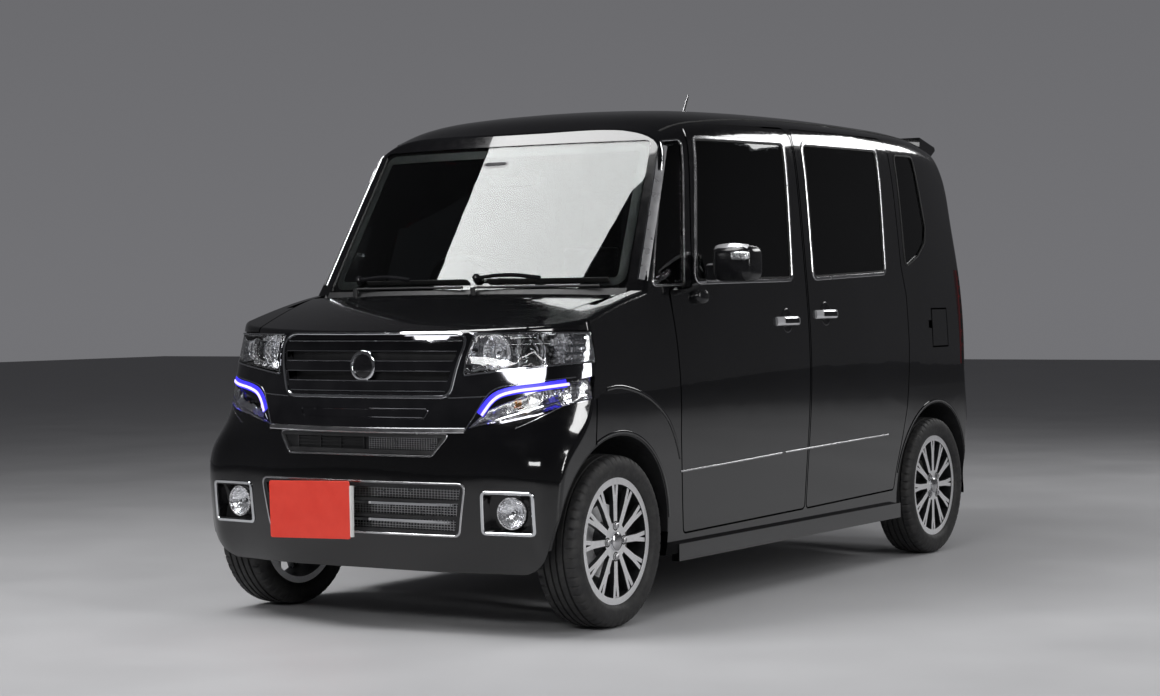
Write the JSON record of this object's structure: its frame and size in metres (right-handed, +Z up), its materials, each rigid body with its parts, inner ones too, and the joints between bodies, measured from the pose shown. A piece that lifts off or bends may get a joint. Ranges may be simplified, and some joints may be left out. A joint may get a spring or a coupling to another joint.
{
  "type": "kei car",
  "caption": "Tall boxy kei car with hinged front doors, sliding rear doors, a bonnet and a tailgate, alloy wheels and a chrome grille.",
  "frame": {"origin": "on the ground, midway between the axles and between the left and right wheels", "axes": "+Z up, the car faces -Y, +X towards its left side"},
  "size_m": [1.79, 3.4319, 1.8559],
  "materials": {
    "paint": "high gloss",
    "lamp_lens": "smooth",
    "dark_chrome": "bright",
    "black_plastic": "matt",
    "chrome": "bright",
    "clear_glass": "smooth",
    "dark_glass": "smooth",
    "red_lens": "smooth",
    "cast_metal": "rough",
    "steel": "satin",
    "body_steel": "satin",
    "trim_plastic": "matt",
    "seat_cloth": "woven",
    "plate_white": "satin",
    "tyre_rubber": "matt",
    "alloy": "machined"
  },
  "bodies": {
    "body": {"front_fenders": "paint", "front_bumper": "paint", "headlamps": "lamp_lens", "signal_lamps": "lamp_lens", "front_garnish": "dark_chrome", "grille": "dark_chrome", "bumper_grilles": "black_plastic", "fog_lamps": "chrome", "roof_panel": "paint", "side_frames": "paint", "bulkhead": "black_plastic", "windscreen": "clear_glass", "side_glass": "dark_glass", "slide_doors": "paint", "rear_bumper": "paint", "tail_lamps": "red_lens", "engine": "cast_metal", "radiator": "steel", "fuel_tank": "body_steel", "exhaust": "steel", "rear_axle": "cast_metal", "front_frame": "body_steel", "floor_pan": "body_steel", "front_liners": "black_plastic", "rear_liners": "black_plastic", "side_skirts": "paint", "dashboard": "trim_plastic", "front_seats": "seat_cloth", "rear_seat": "seat_cloth", "steering_column": "steel", "slide_handles": "chrome", "antenna": "black_plastic", "front_plate": "plate_white", "wipers": "black_plastic"},
    "front_door_left": {"front_door_left": "paint", "front_door_glass_left": "dark_glass", "front_handle_left": "chrome", "mirror_left": "paint"},
    "front_door_right": {"front_door_right": "paint", "front_door_glass_right": "dark_glass", "front_handle_right": "chrome", "mirror_right": "paint"},
    "tailgate": {"tailgate": "paint", "tailgate_glass": "dark_glass", "rear_spoiler": "paint", "rear_plate": "plate_white"},
    "bonnet": {"bonnet": "paint"},
    "fuel_lid": {"fuel_lid": "paint"},
    "knuckle_left": {"knuckle_left": "cast_metal"},
    "knuckle_right": {"knuckle_right": "cast_metal"},
    "wheel_front_left": {"tyre_front_left": "tyre_rubber", "rim_front_left": "alloy"},
    "wheel_front_right": {"tyre_front_right": "tyre_rubber", "rim_front_right": "alloy"},
    "wheel_rear_left": {"tyre_rear_left": "tyre_rubber", "rim_rear_left": "alloy"},
    "wheel_rear_right": {"tyre_rear_right": "tyre_rubber", "rim_rear_right": "alloy"},
    "steering_wheel": {"steering_wheel": "black_plastic"}
  },
  "joints": [
    {"name": "front_door_left_hinge", "type": "hinge", "parent": "body", "child": "front_door_left", "pos_m": [0.7065, -0.94906, 0.745], "axis": [0, 0, -1], "range_deg": [0, 60]},
    {"name": "front_door_right_hinge", "type": "hinge", "parent": "body", "child": "front_door_right", "pos_m": [-0.7065, -0.94906, 0.745], "axis": [0, 0, 1], "range_deg": [0, 60]},
    {"name": "tailgate_hinge", "type": "hinge", "parent": "body", "child": "tailgate", "pos_m": [0, 1.45675, 1.74497], "axis": [1, 0, 0], "range_deg": [0, 80]},
    {"name": "bonnet_hinge", "type": "hinge", "parent": "body", "child": "bonnet", "pos_m": [0, -1.1, 1.05], "axis": [-1, 0, 0], "range_deg": [0, 45]},
    {"name": "fuel_lid_hinge", "type": "hinge", "parent": "body", "child": "fuel_lid", "pos_m": [0.7225, 1.199, 0.935], "axis": [0, 0, -1], "range_deg": [0, 75]},
    {"name": "steering_wheel_turn", "type": "hinge", "parent": "body", "child": "steering_wheel", "pos_m": [-0.345, -0.53, 1.06], "axis": [0, 0.8829, 0.4695], "range_deg": [-540, 540]},
    {"name": "steer_left", "type": "hinge", "parent": "body", "child": "knuckle_left", "pos_m": [0.59, -1.26, 0.19], "axis": [-0.173, 0, 0.9849], "range_deg": [-34, 34]},
    {"name": "steer_right", "type": "hinge", "parent": "body", "child": "knuckle_right", "pos_m": [-0.59, -1.26, 0.19], "axis": [0.173, 0, 0.9849], "range_deg": [-34, 34]},
    {"name": "wheel_front_left_spin", "type": "hinge", "parent": "knuckle_left", "child": "wheel_front_left", "pos_m": [0.6525, -1.26, 0.281], "axis": [1, 0, 0], "continuous": true},
    {"name": "wheel_front_right_spin", "type": "hinge", "parent": "knuckle_right", "child": "wheel_front_right", "pos_m": [-0.6525, -1.26, 0.281], "axis": [1, 0, 0], "continuous": true},
    {"name": "wheel_rear_left_spin", "type": "hinge", "parent": "body", "child": "wheel_rear_left", "pos_m": [0.6525, 1.26, 0.281], "axis": [1, 0, 0], "continuous": true},
    {"name": "wheel_rear_right_spin", "type": "hinge", "parent": "body", "child": "wheel_rear_right", "pos_m": [-0.6525, 1.26, 0.281], "axis": [1, 0, 0], "continuous": true}
  ],
  "couplings": [
    {"joint": "steer_right", "follows": "steer_left", "ratio": 1},
    {"joint": "steering_wheel_turn", "follows": "steer_left", "ratio": 15.4}
  ]
}
